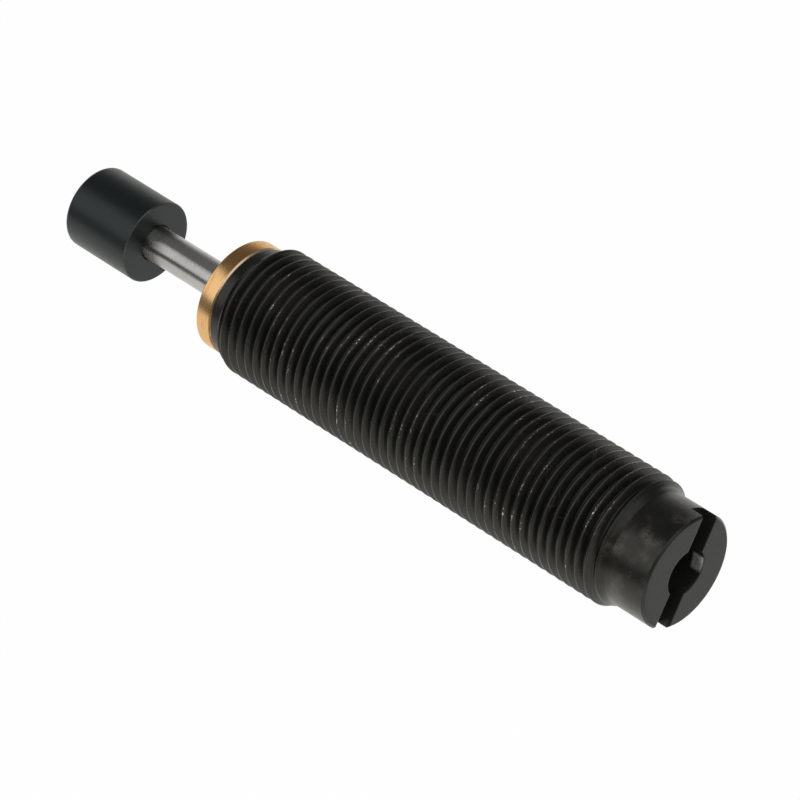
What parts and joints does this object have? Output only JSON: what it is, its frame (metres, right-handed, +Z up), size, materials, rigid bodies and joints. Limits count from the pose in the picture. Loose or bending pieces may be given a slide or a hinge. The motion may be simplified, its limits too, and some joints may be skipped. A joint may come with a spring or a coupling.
{
  "type": "miniature shock absorber",
  "caption": "Miniature hydraulic shock absorber with a fine-threaded barrel, bronze front collar, sprung piston rod and cylindrical impact button.",
  "frame": {"origin": "on the body's axis, where the full mounting thread ends behind the front collar", "axes": "+X along the axis, the way the rod comes out; +Z up with the body lying level; rest pose is the rod fully out"},
  "size_m": [0.0697, 0.0118, 0.0119],
  "materials": {
    "black_oxide_steel": "black oxide, satin, worn bright on the thread crests",
    "plug_steel": "black oxide",
    "copper": "soft annealed copper",
    "tube_steel": "ground",
    "washer_steel": "stamped",
    "spring_steel": "drawn wire",
    "bronze": "turned bronze",
    "collar_bronze": "turned bronze, satin",
    "polished_rod": "ground and polished",
    "button_steel": "dark blue-grey satin",
    "foam": "closed-cell nitrile foam",
    "seal_rubber": "moulded nitrile",
    "ptfe": "plain"
  },
  "bodies": {
    "housing": {"outer_body": "black_oxide_steel", "fill_plug": "plug_steel", "plug_seal": "copper", "pressure_tube": "tube_steel", "spring_seat": "washer_steel", "return_spring": "spring_steel", "rod_guide": "tube_steel", "guide_bearing": "bronze", "accumulator_foam": "foam", "seal_spacer": "washer_steel", "rod_seal": "seal_rubber", "backup_ring": "ptfe", "bearing_collar": "collar_bronze", "collar_o_ring": "seal_rubber", "rod_wiper": "seal_rubber"},
    "slip_washer": {"spring_follower": "washer_steel"},
    "rod": {"piston_rod": "polished_rod", "rod_button": "button_steel", "piston": "tube_steel", "piston_nut": "plug_steel", "ring_retainer": "washer_steel"},
    "valve_ring": {"check_ring": "bronze"}
  },
  "joints": [
    {"name": "rod_stroke", "type": "slide", "parent": "housing", "child": "slip_washer", "axis": [-1, 0, 0], "range_m": [0, 0.01045], "stiffness_N_per_m": 580, "springref_m": -0.0069, "deforming": ["return_spring"]},
    {"name": "rod_turn", "type": "hinge", "parent": "slip_washer", "child": "rod", "pos_m": [0, 0, 0], "axis": [1, 0, 0], "continuous": true},
    {"name": "ring_float", "type": "slide", "parent": "rod", "child": "valve_ring", "axis": [1, 0, 0], "range_m": [0, 0.00028]}
  ]
}
